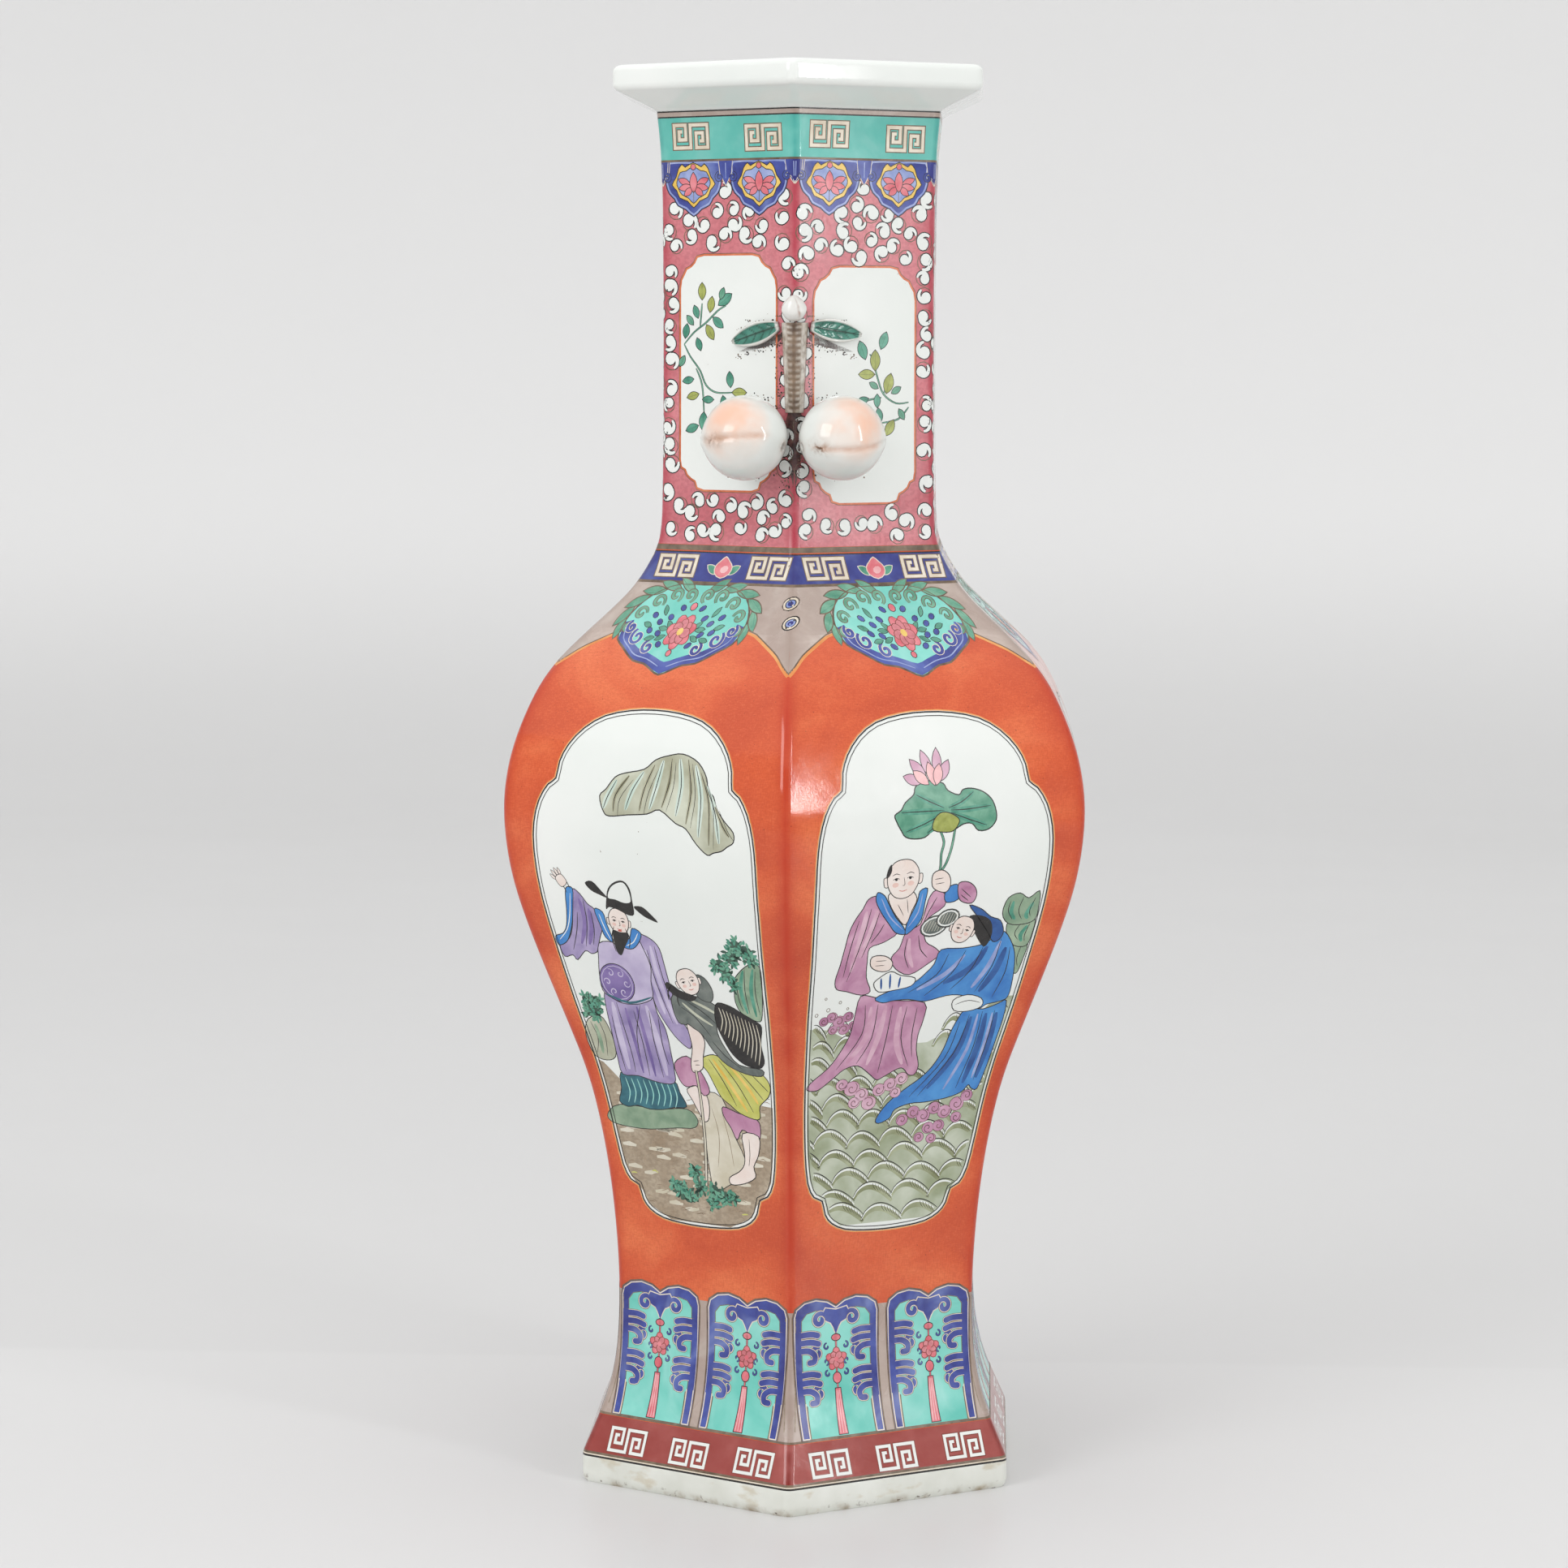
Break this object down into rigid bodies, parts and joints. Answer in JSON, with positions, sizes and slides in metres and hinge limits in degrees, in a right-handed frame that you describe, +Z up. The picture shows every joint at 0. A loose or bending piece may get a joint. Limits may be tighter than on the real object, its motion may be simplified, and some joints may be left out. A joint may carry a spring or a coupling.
{
  "type": "hexagonal porcelain vase",
  "caption": "Tall hexagonal baluster vase in enamelled porcelain, with a flanged mouth, paired peach-branch handles on the neck and a flared foot.",
  "frame": {"origin": "centre of the foot's resting plane", "axes": "+Z up along the vase's axis; -Y out through the corner that carries the front handle; +X to the right seen from the front"},
  "size_m": [0.2426, 0.28, 0.6],
  "materials": {
    "clear_glaze": "glossy clear glaze over white porcelain",
    "rose_enamel": "glossy opaque rose enamel with white scrolls and reserves",
    "coral_enamel": "glossy brushed coral-red enamel with painted white reserves",
    "iron_red_enamel": "glossy red enamel above a clear-glazed white band",
    "unglazed_base": "matt bare porcelain biscuit",
    "brown_enamel": "semi-gloss brown enamel, ribbed",
    "peach_blush": "glossy white glaze with a sprayed pink blush",
    "leaf_enamel": "glossy translucent green enamel with a white edge"
  },
  "bodies": {
    "root": {"back_branch": "brown_enamel", "back_bud": "clear_glaze", "back_leaf_left": "leaf_enamel", "back_leaf_right": "leaf_enamel", "back_peach_left": "peach_blush", "back_peach_right": "peach_blush", "base_slab": "unglazed_base", "body_wall_back_left": "coral_enamel", "body_wall_back_right": "coral_enamel", "body_wall_front_left": "coral_enamel", "body_wall_front_right": "coral_enamel", "body_wall_left": "coral_enamel", "body_wall_right": "coral_enamel", "foot_strip_back_left": "iron_red_enamel", "foot_strip_back_right": "iron_red_enamel", "foot_strip_front_left": "iron_red_enamel", "foot_strip_front_right": "iron_red_enamel", "foot_strip_left": "iron_red_enamel", "foot_strip_right": "iron_red_enamel", "front_branch": "brown_enamel", "front_bud": "clear_glaze", "front_leaf_left": "leaf_enamel", "front_leaf_right": "leaf_enamel", "front_peach_left": "peach_blush", "front_peach_right": "peach_blush", "mouth_rim_back_left": "clear_glaze", "mouth_rim_back_right": "clear_glaze", "mouth_rim_front_left": "clear_glaze", "mouth_rim_front_right": "clear_glaze", "mouth_rim_left": "clear_glaze", "mouth_rim_right": "clear_glaze", "neck_wall_back_left": "rose_enamel", "neck_wall_back_right": "rose_enamel", "neck_wall_front_left": "rose_enamel", "neck_wall_front_right": "rose_enamel", "neck_wall_left": "rose_enamel", "neck_wall_right": "rose_enamel"}
  },
  "joints": []
}
